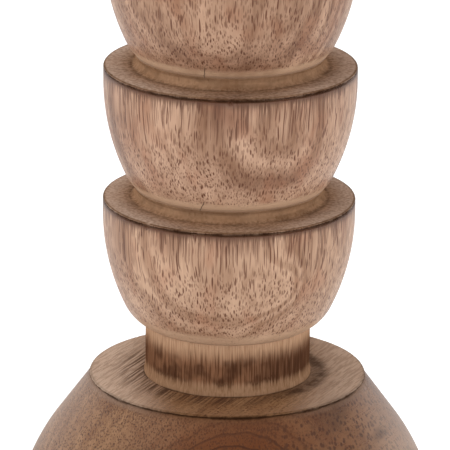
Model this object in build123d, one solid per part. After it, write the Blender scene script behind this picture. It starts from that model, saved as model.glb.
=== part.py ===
from build123d import *
import os
from math import cos, radians, sin

# Pricket candle stand: three turned wooden bowls stacked on a domed base, under a candle dish.
# A steel rod up the middle draws the stack together, between the iron spike and a nut in the base.
# Sizes are in millimetres. +Z is up, and the origin is on the axis where the feet meet the table.

# Joints between the turned pieces
spigot_radius = 15.0
spigot_length = 6.0
spigot_ease = 0.8
spigot_clearance = 0.15
spigot_end_gap = 0.5
seat_rise = 3.2
cove_reach = 1.2
joint_ease = 0.25

# Burnt score line and eased arris of every rim
score_width = 0.7
score_depth = 0.4
arris_radius = 0.55

# Turned bowl
bowl_radius = 35.3
bowl_height = 38.05
rim_land = 3.0
belly_taper = 6.1
foot_rise = 3.95
foot_tuck = 2.6
collar_height = 0.5

# Neck under the lowest bowl
neck_radius = 23.15
neck_length = 16.85
lip_width = 0.55
lip_drop = 1.45
neck_flare = 0.35
flare_height = 3.0
neck_foot_edge = 0.9

# Domed base
base_radius = 60.4
base_height = 52.0
shoulder_radius = 38.9
flank_drop = 14.6
flank_spread = 10.7
base_foot_round = 2.0

# Candle dish
dish_radius = 46.0
dish_height = 25.05
dish_land = 4.0
dish_taper = 8.0
dish_foot_rise = 6.05

# Drip pan, spun from sheet iron
pan_floor_radius = 33.5
pan_height = 6.8
pan_thickness = 1.2
pan_corner = 4.0
pan_wall_angle = 65.0
pan_lip_radius = 1.3
pan_clearance = 0.6
recess_depth = 3.0
recess_ease = 0.5

# Iron spike with its collar and threaded hub
spike_length = 42.0
spike_radius = 3.5
spike_tip_radius = 0.6
spike_clearance = 0.6
spike_collar_radius = 10.0
spike_collar_thickness = 2.5
spike_collar_ease = 0.4
hub_radius = 7.0
hub_length = 14.0
hub_thread_depth = 12.0
hub_clearance = 0.2

# Tie rod and what holds it under the base
rod_radius = 4.0
rod_clearance = 0.3
rod_ease = 0.8
rod_end_gap = 1.0
rod_tail = 3.0
rod_setback = 2.0
thread_clearance = 0.1
nut_across_flats = 13.0
nut_height = 6.5
nut_ease = 0.9
washer_radius = 12.0
washer_thickness = 2.0
washer_clearance = 0.3
spring_radius = 7.4
spring_thickness = 2.0
spring_gap = 1.4
spring_slant = 25.0
wrench_room = 2.5

# Felt feet
pad_radius = 8.0
pad_thickness = 2.5
pad_inset = 14.5
pad_count = 4

# Radii and lengths that follow from the sizes above
belly_end_radius = bowl_radius - belly_taper
collar_radius = belly_end_radius - foot_tuck
neck_foot_radius = neck_radius + neck_flare
socket_radius = spigot_radius + spigot_clearance
socket_depth = spigot_length + spigot_end_gap
bore_radius = rod_radius + rod_clearance
rim_rise = score_width / 2 + arris_radius
pan_wall_start = pan_floor_radius + pan_corner * sin(radians(pan_wall_angle))
pan_wall_foot = pan_corner * (1 - cos(radians(pan_wall_angle)))
pan_wall_height = pan_height - pan_lip_radius - pan_wall_foot
pan_wall_spread = pan_wall_height * cos(radians(pan_wall_angle)) / sin(radians(pan_wall_angle))
pan_lip_offset = pan_thickness / 2 * sin(radians(pan_wall_angle))
pan_lip_centre_radius = pan_wall_start + pan_wall_spread - pan_lip_offset
pan_radius = pan_lip_centre_radius + pan_lip_radius
recess_radius = pan_radius + pan_clearance
pocket_radius = washer_radius + wrench_room
pocket_depth = rod_setback + rod_tail + nut_height + spring_thickness + washer_thickness

# Heights of the pieces above the table
base_bottom = pad_thickness
lower_bowl_bottom = base_bottom + base_height
middle_bowl_bottom = lower_bowl_bottom + neck_length + bowl_height
upper_bowl_bottom = middle_bowl_bottom + bowl_height
dish_bottom = upper_bowl_bottom + bowl_height
pan_bottom = dish_bottom + dish_height - recess_depth
rod_bottom = base_bottom + rod_setback
nut_bottom = rod_bottom + rod_tail
spring_bottom = nut_bottom + nut_height
washer_bottom = spring_bottom + spring_thickness
hub_bottom = pan_bottom - spike_collar_thickness - hub_length
rod_top = hub_bottom + hub_thread_depth - rod_end_gap


# Stretches of outline that the turned pieces share, drawn as radius and height

def draw_rim(radius, line_height):
    """V-shaped score line around a rim and the quarter round above it."""
    Polyline(
        (radius, line_height - score_width / 2),
        (radius - score_depth, line_height),
        (radius, line_height + score_width / 2),
    )
    JernArc((radius, line_height + score_width / 2), (0, 1), arris_radius, 90)


def draw_socket(seat_height):
    """Socket in a seat, for the spigot above, and the step to the bore for the rod."""
    Polyline(
        (socket_radius, seat_height),
        (socket_radius, seat_height - socket_depth),
        (bore_radius, seat_height - socket_depth),
    )


def draw_seat(rim_radius, seat_radius, seat_height):
    """Flat top inside a rim, the cove up to the raised seat, and the seat with its socket."""
    flat_height = seat_height - seat_rise
    cove_start = (seat_radius + cove_reach, flat_height)
    Line((rim_radius - arris_radius, flat_height), cove_start)
    cove_end = (seat_radius, seat_height - joint_ease)
    TangentArc(cove_start, cove_end, tangent=(-1, 0))
    Polyline(
        cove_end,
        (seat_radius - joint_ease, seat_height),
        (socket_radius, seat_height),
    )
    draw_socket(seat_height)


def draw_spigot(foot_radius, foot_edge):
    """Spigot below a piece, the face that sits on the piece beneath, and the edge of its foot."""
    Polyline(
        (bore_radius, -spigot_length),
        (spigot_radius - spigot_ease, -spigot_length),
        (spigot_radius, spigot_ease - spigot_length),
        (spigot_radius, 0),
        (foot_radius - joint_ease, 0),
        (foot_radius, joint_ease),
        (foot_radius, foot_edge),
    )


def draw_bowl(bottom):
    """Bowl from its belly to the socket in its top; gives back the belly for the foot to follow."""
    seat_height = bottom + bowl_height
    line_height = seat_height - seat_rise - rim_rise
    land_bottom = line_height - rim_land
    belly_end = (belly_end_radius, bottom + foot_rise)
    belly = TangentArc((bowl_radius, land_bottom), belly_end, tangent=(0, -1))
    Line((bowl_radius, land_bottom), (bowl_radius, line_height - score_width / 2))
    draw_rim(bowl_radius, line_height)
    draw_seat(bowl_radius, collar_radius, seat_height)
    Line((bore_radius, seat_height - socket_depth), (bore_radius, -spigot_length))
    return belly


# Wooden pieces

def turned_bowl():
    """Bowl that sits on the bowl below: its belly turns under to a narrow collar."""
    with BuildPart() as piece:
        with BuildSketch(Plane.XZ):
            with BuildLine():
                belly = draw_bowl(0)
                TangentArc(belly @ 1, (collar_radius, collar_height), tangent=belly % 1)
                draw_spigot(collar_radius, collar_height)
            make_face()
        revolve(axis=Axis.Z)
    return piece.part


def necked_bowl():
    """Lowest bowl: the same bowl on a neck that flares a little where it meets the base."""
    with BuildPart() as piece:
        with BuildSketch(Plane.XZ):
            with BuildLine():
                belly = draw_bowl(neck_length)
                lip = (neck_radius + lip_width, neck_length - lip_drop)
                TangentArc(belly @ 1, lip, tangent=belly % 1)
                neck_top = (neck_radius, neck_length - lip_drop - lip_width)
                TangentArc(lip, neck_top, tangent=(-1, 0))
                flare_top = (neck_radius, flare_height)
                Line(neck_top, flare_top)
                TangentArc(flare_top, (neck_foot_radius, neck_foot_edge), tangent=(0, -1))
                draw_spigot(neck_foot_radius, neck_foot_edge)
            make_face()
        revolve(axis=Axis.Z)
    return piece.part


def domed_base():
    """Dome with a flat shoulder, a socket for the neck, and a pocket below for the nut."""
    line_height = base_height - rim_rise
    flank_top = (shoulder_radius, line_height - score_width / 2)
    flank_end = (shoulder_radius + flank_spread, flank_top[1] - flank_drop)
    with BuildPart() as piece:
        with BuildSketch(Plane.XZ):
            with BuildLine():
                Polyline(
                    (bore_radius, base_height - socket_depth),
                    (bore_radius, pocket_depth),
                    (pocket_radius, pocket_depth),
                    (pocket_radius, 0),
                    (base_radius - base_foot_round, 0),
                )
                JernArc((base_radius - base_foot_round, 0), (1, 0), base_foot_round, 90)
                TangentArc((base_radius, base_foot_round), flank_end, tangent=(0, 1))
                Line(flank_end, flank_top)
                draw_rim(shoulder_radius, line_height)
                Line((shoulder_radius - arris_radius, base_height), (socket_radius, base_height))
                draw_socket(base_height)
            make_face()
        revolve(axis=Axis.Z)
    return piece.part


def candle_dish():
    """Wide shallow bowl with a recess for the drip pan and pockets for the spike's collar and hub."""
    line_height = dish_height - rim_rise
    land_bottom = line_height - dish_land
    recess_floor = dish_height - recess_depth
    collar_floor = recess_floor - spike_collar_thickness
    hub_floor = collar_floor - hub_length - hub_clearance
    belly_end = (dish_radius - dish_taper, dish_foot_rise)
    with BuildPart() as piece:
        with BuildSketch(Plane.XZ):
            with BuildLine():
                draw_spigot(collar_radius, collar_height)
                belly = TangentArc((dish_radius, land_bottom), belly_end, tangent=(0, -1))
                TangentArc(belly @ 1, (collar_radius, collar_height), tangent=belly % 1)
                Line((dish_radius, land_bottom), (dish_radius, line_height - score_width / 2))
                draw_rim(dish_radius, line_height)
                Polyline(
                    (dish_radius - arris_radius, dish_height),
                    (recess_radius + recess_ease, dish_height),
                    (recess_radius, dish_height - recess_ease),
                    (recess_radius, recess_floor),
                    (spike_collar_radius + hub_clearance, recess_floor),
                    (spike_collar_radius + hub_clearance, collar_floor),
                    (hub_radius + hub_clearance, collar_floor),
                    (hub_radius + hub_clearance, hub_floor),
                    (bore_radius, hub_floor),
                    (bore_radius, -spigot_length),
                )
            make_face()
        revolve(axis=Axis.Z)
    return piece.part


# Iron and steel pieces

def drip_pan():
    """Sheet iron pan with a flared wall, a rolled lip and a hole that drops over the spike."""
    with BuildPart() as piece:
        with BuildSketch(Plane.XZ):
            with BuildLine():
                Line((spike_radius + spike_clearance, 0), (pan_floor_radius, 0))
                corner = JernArc((pan_floor_radius, 0), (1, 0), pan_corner, pan_wall_angle)
                PolarLine(corner @ 1, pan_wall_height, direction=corner % 1, length_mode=LengthMode.VERTICAL)
                offset(amount=pan_thickness, side=Side.LEFT)
            make_face()
            with Locations((pan_lip_centre_radius, pan_height - pan_lip_radius)):
                Circle(pan_lip_radius)
        revolve(axis=Axis.Z)
    return piece.part


def pricket_spike():
    """Tapered spike on a flush collar, with a hub below that screws on to the tie rod."""
    thread_radius = rod_radius + thread_clearance
    hub_end = -spike_collar_thickness - hub_length
    with BuildPart() as piece:
        with BuildSketch(Plane.XZ):
            with BuildLine():
                JernArc((spike_tip_radius, spike_length - spike_tip_radius), (0, 1), spike_tip_radius, 90)
                Polyline(
                    (spike_tip_radius, spike_length - spike_tip_radius),
                    (spike_radius, 0),
                    (spike_collar_radius - spike_collar_ease, 0),
                    (spike_collar_radius, -spike_collar_ease),
                    (spike_collar_radius, -spike_collar_thickness),
                    (hub_radius, -spike_collar_thickness),
                    (hub_radius, hub_end),
                    (thread_radius, hub_end),
                    (thread_radius, hub_end + hub_thread_depth),
                    (0, hub_end + hub_thread_depth),
                    (0, spike_length),
                )
            make_face()
        revolve(axis=Axis.Z)
    return piece.part


def tie_rod():
    """Steel rod from below the nut to the spike's hub, with its ends eased."""
    with BuildPart() as piece:
        with Locations((0, 0, rod_bottom)):
            Cylinder(rod_radius, rod_top - rod_bottom, align=(Align.CENTER, Align.CENTER, Align.MIN))
        chamfer(piece.edges().filter_by(GeomType.CIRCLE), rod_ease)
    return piece.part


def hex_nut():
    """Hexagon nut with its corners turned down on both faces."""
    corner_radius = nut_across_flats / 2 / cos(radians(30))
    with BuildPart() as piece:
        Cylinder(corner_radius, nut_height, align=(Align.CENTER, Align.CENTER, Align.MIN))
        chamfer(piece.edges().filter_by(GeomType.CIRCLE), nut_ease / 2, nut_ease)
        with BuildSketch():
            RegularPolygon(nut_across_flats / 2, 6, major_radius=False)
            Circle(rod_radius + thread_clearance, mode=Mode.SUBTRACT)
        extrude(amount=nut_height, mode=Mode.INTERSECT)
    return piece.part


def plain_washer():
    """Flat ring that spreads the nut's pull over the wood."""
    with BuildPart() as piece:
        with BuildSketch():
            Circle(washer_radius)
            Circle(rod_radius + washer_clearance, mode=Mode.SUBTRACT)
        extrude(amount=washer_thickness)
    return piece.part


def spring_washer():
    """Split ring under the nut, pressed flat, with its slanted gap."""
    with BuildPart() as piece:
        with BuildSketch():
            Circle(spring_radius)
            Circle(rod_radius + washer_clearance, mode=Mode.SUBTRACT)
        extrude(amount=spring_thickness)
        with Locations(Location((spring_radius, 0, spring_thickness / 2), (spring_slant, 0, 0))):
            Box(2 * (spring_radius - rod_radius), spring_gap, 2 * spring_thickness, mode=Mode.SUBTRACT)
    return piece.part


def felt_feet():
    """Ring of felt discs under the edge of the base."""
    with BuildPart() as piece:
        with BuildSketch():
            with PolarLocations(base_radius - pad_inset, pad_count, start_angle=180 / pad_count):
                Circle(pad_radius)
        extrude(amount=pad_thickness)
    return piece.part


# Every piece at its height in the stand, one file each
stand = {
    "base": Pos(Z=base_bottom) * domed_base(),
    "lower_bowl": Pos(Z=lower_bowl_bottom) * necked_bowl(),
    "middle_bowl": Pos(Z=middle_bowl_bottom) * turned_bowl(),
    "upper_bowl": Pos(Z=upper_bowl_bottom) * turned_bowl(),
    "candle_dish": Pos(Z=dish_bottom) * candle_dish(),
    "drip_pan": Pos(Z=pan_bottom) * drip_pan(),
    "pricket": Pos(Z=pan_bottom) * pricket_spike(),
    "tie_rod": tie_rod(),
    "base_nut": Pos(Z=nut_bottom) * hex_nut(),
    "spring_washer": Pos(Z=spring_bottom) * spring_washer(),
    "base_washer": Pos(Z=washer_bottom) * plain_washer(),
    "felt_feet": felt_feet(),
}

os.makedirs("parts", exist_ok=True)
for node, shape in stand.items():
    export_step(shape, f"parts/{node}.step")
print(f"stand {pan_bottom + spike_length:.1f} mm tall, base {2 * base_radius:.1f} mm across")
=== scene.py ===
# %% [markdown]
# A turned candle stand. Three wooden bowls are stacked on a domed base, and a dish on top carries an
# iron pan and spike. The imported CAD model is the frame: it says where each piece is, how large it is
# and how it moves. This lesson models each piece again with the small marks that a lathe, a burning
# wire and years of use leave, and then gives it its wood or its metal.

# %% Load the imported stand
from math import atan2, ceil, cos, pi, radians, sin

import bmesh
import bpy
from mathutils import Matrix, Vector, noise


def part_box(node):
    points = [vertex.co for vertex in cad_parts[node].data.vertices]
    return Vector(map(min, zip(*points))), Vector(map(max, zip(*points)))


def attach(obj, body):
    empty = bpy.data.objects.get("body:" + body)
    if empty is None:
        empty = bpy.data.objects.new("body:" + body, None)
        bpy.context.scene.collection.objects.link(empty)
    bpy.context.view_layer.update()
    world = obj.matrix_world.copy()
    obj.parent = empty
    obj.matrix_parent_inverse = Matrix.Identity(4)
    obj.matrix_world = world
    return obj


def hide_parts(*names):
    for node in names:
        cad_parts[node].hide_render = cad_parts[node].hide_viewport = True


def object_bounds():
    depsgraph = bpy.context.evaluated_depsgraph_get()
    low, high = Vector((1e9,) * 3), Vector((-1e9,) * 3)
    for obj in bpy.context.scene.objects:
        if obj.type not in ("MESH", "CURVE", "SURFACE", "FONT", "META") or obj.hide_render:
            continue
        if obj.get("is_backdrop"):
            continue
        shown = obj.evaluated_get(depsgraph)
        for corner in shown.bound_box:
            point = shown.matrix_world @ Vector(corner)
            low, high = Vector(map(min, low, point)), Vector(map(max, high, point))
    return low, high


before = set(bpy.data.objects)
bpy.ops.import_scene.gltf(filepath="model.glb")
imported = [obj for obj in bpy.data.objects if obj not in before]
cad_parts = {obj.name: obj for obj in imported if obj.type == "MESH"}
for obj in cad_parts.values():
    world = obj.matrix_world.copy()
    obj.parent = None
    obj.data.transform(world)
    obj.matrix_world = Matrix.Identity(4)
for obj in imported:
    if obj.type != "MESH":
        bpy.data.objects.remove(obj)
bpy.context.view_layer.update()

print("nodes:", ", ".join(sorted(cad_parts)))

# %% [markdown]
# A lathe makes every wooden piece, so each one is an outline turned about the upright axis. The
# overall sizes come from the frame's boxes. The small ones, such as the width of a score line, are
# named here once, in metres, because a box doesn't tell them.

# %% Sizes that the turned pieces share
MM = 0.001
spigot_radius = 15.0 * MM
spigot_length = 6.0 * MM
socket_radius = 15.15 * MM
socket_depth = 6.5 * MM
bore_radius = 4.3 * MM
seat_rise = 3.2 * MM
cove_reach = 1.2 * MM
joint_ease = 0.15 * MM
score_width = 0.7 * MM
score_depth = 0.4 * MM
arris_radius = 0.55 * MM
rim_rise = score_width / 2 + arris_radius
bowl_height = 38.05 * MM
collar_radius = 26.6 * MM
collar_height = 0.5 * MM
turns = 384
print("bowls in mm:", round(bowl_height / MM, 2), "high, cut in", turns, "steps")

# %% [markdown]
# The outline is drawn in the XZ plane, as radius and height. A curve object could hold it too, but
# here it is a chain of vertices, which operators can shape. A straight run is a vertex extruded to its
# end. An arc is a vertex spun about the arc's centre, so it stays round however fine it is cut, and
# only its end and one of its tangents have to be known. Spinning the whole chain is the lathe.

# %% An outline that can be turned
class Outline:
    """Outline of a turned piece, drawn from point to point as radius and height."""

    def __init__(self, radius, height):
        self.mesh = bmesh.new()
        self.first = self.last = self.mesh.verts.new((radius, 0, height))
        self.heading = Vector((1, 0, 0))

    def line(self, radius, height, cuts=0):
        start = self.last.co.copy()
        end = Vector((radius, 0, height))
        for step in range(1, cuts + 2):
            made = bmesh.ops.extrude_vert_indiv(self.mesh, verts=[self.last])
            self.last = made["verts"][0]
            self.last.co = start.lerp(end, step / (cuts + 1))
        self.heading = (end - start).normalized()

    def arc(self, radius, height, leave=None, arrive=None, steps=10):
        chord = Vector((radius, 0, height)) - self.last.co
        if arrive:
            heading = Vector((arrive[0], 0, arrive[1]))
            self.heading = 2 * heading.project(chord) - heading
        elif leave:
            self.heading = Vector((leave[0], 0, leave[1]))
        side = self.heading.cross(chord)
        half_turn = self.heading.angle(chord)
        inward = side.normalized().cross(self.heading)
        centre = self.last.co + inward * chord.length / (2 * sin(half_turn))
        made = bmesh.ops.spin(self.mesh, geom=[self.last], cent=centre, axis=side.normalized(),
                              angle=2 * half_turn, steps=steps)
        self.last = next(item for item in made["geom_last"] if isinstance(item, bmesh.types.BMVert))
        self.heading = Matrix.Rotation(2 * half_turn, 3, side) @ self.heading

    def close(self):
        self.mesh.edges.new((self.last, self.first))

    def turn(self, steps=turns):
        bmesh.ops.spin(self.mesh, geom=self.mesh.verts[:] + self.mesh.edges[:], cent=(0, 0, 0),
                       axis=(0, 0, 1), angle=2 * pi, steps=steps, use_merge=True)
        bmesh.ops.remove_doubles(self.mesh, verts=self.mesh.verts, dist=0.002 * MM)
        bmesh.ops.dissolve_degenerate(self.mesh, edges=self.mesh.edges, dist=0.002 * MM)
        bmesh.ops.recalc_face_normals(self.mesh, faces=self.mesh.faces)
        return self.mesh


def show_piece(name, mesh_build, body, node, sharp_angle=30):
    """Makes an object of a finished bmesh, and puts it in the place of its CAD node."""
    mesh = bpy.data.meshes.new(name)
    mesh_build.to_mesh(mesh)
    mesh_build.free()
    mesh.shade_smooth()
    mesh.set_sharp_from_angle(angle=radians(sharp_angle))
    piece = bpy.data.objects.new(name, mesh)
    bpy.context.scene.collection.objects.link(piece)
    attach(piece, body)
    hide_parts(node)
    print(name, "faces:", len(mesh.polygons))
    return piece

# %% [markdown]
# The rim of each turned piece has an eased edge, and a line under it that was burnt in with a wire
# while the piece spun. The raised seat inside it takes the foot of the piece above, a hollow cove leads
# from that seat down to the flat top, and a spigot under each foot keeps the stack in line. These
# stretches recur, so each is one function.

# %% Shared stretches of outline
def start_socket(seat_height):
    """Begins an outline at the bore, and runs it up the wall of the socket."""
    outline = Outline(bore_radius, seat_height - socket_depth)
    outline.line(socket_radius, seat_height - socket_depth)
    outline.line(socket_radius, seat_height)
    return outline


def start_seat(seat_radius, seat_height):
    """Begins an outline in the socket of a raised seat, and runs it down the cove to the flat top."""
    outline = start_socket(seat_height)
    outline.line(seat_radius - joint_ease, seat_height)
    outline.line(seat_radius, seat_height - joint_ease)
    outline.arc(seat_radius + cove_reach, seat_height - seat_rise, arrive=(1, 0), steps=14)
    return outline


def draw_rim(outline, radius, flat_height):
    """Flat top out to the eased edge, and the burnt score line below it."""
    line_height = flat_height - rim_rise
    outline.line(radius - arris_radius, flat_height, cuts=5)
    outline.arc(radius, flat_height - arris_radius, leave=(1, 0), steps=6)
    outline.line(radius - score_depth, line_height, cuts=1)
    outline.line(radius, line_height - score_width / 2, cuts=1)
    return line_height


def draw_spigot(outline, foot_radius, underside):
    """Foot of a piece, the face that rests on the seat below, and the spigot under it."""
    outline.line(foot_radius, underside + joint_ease)
    outline.line(foot_radius - joint_ease, underside)
    outline.line(spigot_radius, underside)
    outline.line(spigot_radius, underside - spigot_length)
    outline.line(bore_radius, underside - spigot_length)
    outline.close()

# %% [markdown]
# A perfect ring looks drawn. On the real stand the gouge left the wall a little wavy, and the brittle
# rim has nicks and a few larger dents. Moving the vertices near the rim by seeded noise gives the
# nicks, and a short list of angles gives the dents, because those sit where one sees them.

# %% Uneven work of a hand lathe
def hand_turned(mesh_build, rim_radius, line_height, seed, dents=()):
    """Leaves the wall a little wavy and the rim nicked. A dent is its angle, width and depth."""
    wave_depth = 0.05 * MM
    waves_around = 2.5
    waves_per_metre = 60
    nick_depth = 0.5 * MM
    nicks_around = 26
    nick_drop = 0.4
    nick_share = 0.28
    rim_reach = 1.3 * MM
    ragged_depth = 0.06 * MM
    ragged_around = 60
    for vert in mesh_build.verts:
        radius = vert.co.xy.length
        if radius < socket_radius + MM:
            continue
        angle = atan2(vert.co.y, vert.co.x)
        around = Vector((cos(angle), sin(angle), seed))
        climb = Vector((0, 0, vert.co.z * waves_per_metre))
        wave = noise.noise(around * waves_around + climb) * wave_depth
        near = max(0.0, 1 - abs(vert.co.z - line_height) / rim_reach)
        near *= max(0.0, 1 - abs(radius - rim_radius) / rim_reach)
        nick = max(0.0, noise.noise(around * nicks_around) - nick_share) * nick_depth
        for dent_angle, dent_width, dent_depth in dents:
            away = (angle - radians(dent_angle)) * radius / dent_width
            nick = max(nick, (1 - away * away) * dent_depth)
        ragged = noise.noise(around * ragged_around) * ragged_depth
        vert.co.xy *= 1 + (wave - nick * near) / radius
        vert.co.z += (ragged - nick * nick_drop) * near

# %% [markdown]
# The bowls are the main forms. The belly leaves the rim upright and draws in slowly, and then turns
# under sharply to the collar. The lowest bowl has a neck in place of the collar, cut from the same
# piece, which flares a little where it meets the base.

# %% Bowls
rim_land = 3.0 * MM
belly_end_radius = 29.2 * MM
foot_rise = 3.95 * MM
neck_radius = 23.15 * MM
neck_foot_radius = 23.5 * MM
neck_foot_edge = 0.9 * MM
lip_width = 0.55 * MM
lip_drop = 1.45 * MM
flare_height = 3.0 * MM
seed_step = 7.3
rim_dents = {
    "upper_bowl": (),
    "middle_bowl": ((-90, 1.2 * MM, 0.5 * MM),),
    "lower_bowl": ((-129.5, 1.0 * MM, 0.8 * MM),),
}


def draw_bowl(node):
    """Outline of a bowl from its socket down to where the belly turns under."""
    low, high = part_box(node)
    outline = start_seat(collar_radius, high.z)
    line_height = draw_rim(outline, high.x, high.z - seat_rise)
    outline.line(high.x, line_height - score_width / 2 - rim_land, cuts=3)
    bottom = high.z - bowl_height
    outline.arc(belly_end_radius, bottom + foot_rise, leave=(0, -1), steps=28)
    return outline, line_height, bottom, low.z + spigot_length


rim_lines = {}
wood_pieces = {}
for seed, node in enumerate(rim_dents):
    outline, line_height, bottom, underside = draw_bowl(node)
    if bottom - underside < MM:
        outline.arc(collar_radius, bottom + collar_height, steps=12)
        draw_spigot(outline, collar_radius, underside)
    else:
        lip = bottom - lip_drop
        outline.arc(neck_radius + lip_width, lip, steps=14)
        outline.arc(neck_radius, lip - lip_width, leave=(-1, 0), steps=4)
        outline.line(neck_radius, underside + flare_height, cuts=4)
        outline.arc(neck_foot_radius, underside + neck_foot_edge, leave=(0, -1), steps=8)
        draw_spigot(outline, neck_foot_radius, underside)
    turned = outline.turn()
    hand_turned(turned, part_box(node)[1].x, line_height, seed * seed_step, rim_dents[node])
    rim_lines[node] = line_height
    wood_pieces[node] = show_piece(node + "_wood", turned, "stand", node)

# %% [markdown]
# The base is one thick block with its grain lying flat. Below a straight flank its outline is a
# single large arc that comes upright at the foot. Underneath, a round pocket leaves room for a wrench.

# %% Base
shoulder_radius = 38.9 * MM
flank_drop = 14.6 * MM
flank_spread = 10.7 * MM
base_foot_round = 2.0 * MM
pocket_radius = 14.5 * MM
pocket_depth = 15.5 * MM
base_seed = 31.7

low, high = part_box("base")
outline = start_socket(high.z)
line_height = draw_rim(outline, shoulder_radius, high.z)
flank_top = line_height - score_width / 2
outline.line(shoulder_radius + flank_spread, flank_top - flank_drop, cuts=6)
outline.arc(high.x, low.z + base_foot_round, arrive=(0, -1), steps=28)
outline.arc(high.x - base_foot_round, low.z, leave=(0, -1), steps=6)
outline.line(pocket_radius, low.z, cuts=6)
outline.line(pocket_radius, low.z + pocket_depth)
outline.line(bore_radius, low.z + pocket_depth)
outline.close()
turned = outline.turn()
hand_turned(turned, shoulder_radius, line_height, base_seed)
rim_lines["base"] = line_height
wood_pieces["base"] = show_piece("base_wood", turned, "stand", "base")

# %% [markdown]
# The dish on top is wider and shallower than the bowls. A recess in it keeps the drip pan central, and
# a deeper one in the middle takes the collar and the hub of the spike.

# %% Candle dish
dish_height = 25.05 * MM
dish_land = 4.0 * MM
dish_taper = 8.0 * MM
dish_foot_rise = 6.05 * MM
recess_depth = 3.0 * MM
recess_ease = 0.5 * MM
pan_play = 0.6 * MM
recess_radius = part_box("drip_pan")[1].x + pan_play
spike_collar_radius = 10.2 * MM
spike_collar_depth = 2.5 * MM
hub_radius = 7.2 * MM
hub_depth = 14.2 * MM
dish_seed = 44.9

low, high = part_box("candle_dish")
underside = low.z + spigot_length
recess_floor = high.z - recess_depth
collar_floor = recess_floor - spike_collar_depth
outline = Outline(bore_radius, collar_floor - hub_depth)
outline.line(hub_radius, collar_floor - hub_depth)
outline.line(hub_radius, collar_floor)
outline.line(spike_collar_radius, collar_floor)
outline.line(spike_collar_radius, recess_floor)
outline.line(recess_radius, recess_floor, cuts=6)
outline.line(recess_radius, high.z - recess_ease)
outline.line(recess_radius + recess_ease, high.z)
line_height = draw_rim(outline, high.x, high.z)
outline.line(high.x, line_height - score_width / 2 - dish_land, cuts=3)
outline.arc(high.x - dish_taper, underside + dish_foot_rise, leave=(0, -1), steps=20)
outline.arc(collar_radius, underside + collar_height, steps=14)
draw_spigot(outline, collar_radius, underside)
turned = outline.turn()
hand_turned(turned, high.x, line_height, dish_seed)
rim_lines["candle_dish"] = line_height
wood_pieces["candle_dish"] = show_piece("candle_dish_wood", turned, "stand", "candle_dish")

# %% [markdown]
# The top is iron. The pan is spun from one thin sheet over a former, so it has an even thickness, a
# round corner, a flared wall and a rolled edge. It lies loose in the dish, so it rides on a body of
# its own.

# %% Drip pan
pan_thickness = 1.2 * MM
pan_floor_radius = 33.5 * MM
pan_corner = 4.0 * MM
pan_wall_angle = radians(65)
pan_lip_radius = 1.3 * MM
pan_hole_radius = 4.1 * MM
pan_lip_tuck = 0.6 * MM
pan_skin = 0.1 * MM
pan_dish = 0.12 * MM
pan_waves = 90
pan_steps = 192

low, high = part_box("drip_pan")
lip_height = high.z - pan_lip_radius
lip_radius = high.x - pan_lip_radius
wall = Vector((cos(pan_wall_angle), 0, sin(pan_wall_angle)))
out = Vector((sin(pan_wall_angle), 0, -cos(pan_wall_angle)))
corner_centre = Vector((pan_floor_radius, 0, low.z + pan_corner))
outer_corner = corner_centre + out * pan_corner
inner_corner = corner_centre + out * (pan_corner - pan_thickness)
outer_top = outer_corner + wall * (lip_height - outer_corner.z) / wall.z
inner_top = outer_top - out * pan_thickness
outline = Outline(pan_hole_radius, low.z)
outline.line(pan_floor_radius, low.z, cuts=16)
outline.arc(outer_corner.x, outer_corner.z, leave=(1, 0), steps=8)
outline.line(outer_top.x, outer_top.z, cuts=2)
outline.arc(lip_radius + pan_lip_radius, lip_height, arrive=(0, 1), steps=4)
outline.arc(lip_radius, lip_height + pan_lip_radius, leave=(0, 1), steps=7)
outline.arc(inner_top.x, inner_top.z + pan_lip_tuck, steps=7)
outline.line(inner_corner.x, inner_corner.z, cuts=2)
outline.arc(pan_floor_radius, low.z + pan_thickness, arrive=(-1, 0), steps=8)
outline.line(pan_hole_radius, low.z + pan_thickness, cuts=16)
outline.close()
spun = outline.turn(pan_steps)
for vert in spun.verts:
    if low.z + pan_skin < vert.co.z < low.z + 2 * pan_thickness:
        vert.co.z += noise.noise(vert.co * pan_waves) * pan_dish
drip_pan = show_piece("drip_pan_iron", spun, "pan", "drip_pan")

# %% [markdown]
# The spike is forged and dressed with a file, so it tapers by eye and keeps faint hammer marks. Its
# collar lies flush in the wood so that the pan can lie flat, and its hub is tapped for the tie rod.

# %% Spike
spike_root_radius = 3.5 * MM
spike_tip_radius = 0.6 * MM
spike_collar_ease = 0.4 * MM
spike_play = 0.2 * MM
spike_collar = spike_collar_radius - spike_play
hub = hub_radius - spike_play
tapping_radius = 4.1 * MM
tapping_depth = 12.0 * MM
hammer_depth = 0.16 * MM
hammer_marks = 160
hammer_from = 0.5 * MM
spike_steps = 64

low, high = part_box("pricket")
outline = Outline(0, high.z)
outline.arc(spike_tip_radius, high.z - spike_tip_radius, leave=(1, 0), steps=5)
outline.line(spike_root_radius, recess_floor, cuts=30)
outline.line(spike_collar - spike_collar_ease, recess_floor, cuts=3)
outline.line(spike_collar, recess_floor - spike_collar_ease)
outline.line(spike_collar, collar_floor)
outline.line(hub, collar_floor)
outline.line(hub, low.z)
outline.line(tapping_radius, low.z)
outline.line(tapping_radius, low.z + tapping_depth)
outline.line(0, low.z + tapping_depth)
forged = outline.turn(spike_steps)
for vert in forged.verts:
    if vert.co.z > recess_floor + hammer_from:
        hammer = noise.noise(vert.co * hammer_marks) * hammer_depth
        vert.co.xy *= 1 + hammer / (vert.co.xy.length + MM)
spike = show_piece("pricket_iron", forged, "stand", "pricket")

# %% [markdown]
# The tie rod is plain threaded stock, cut to length. A thread is one tooth spun up a helix: the spin
# operator can climb while it turns. The tooth is one pitch tall, so a stack of such turns joins into
# one thread, which is quicker than spinning all of it. The two ends are then cut square and eased.

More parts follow.
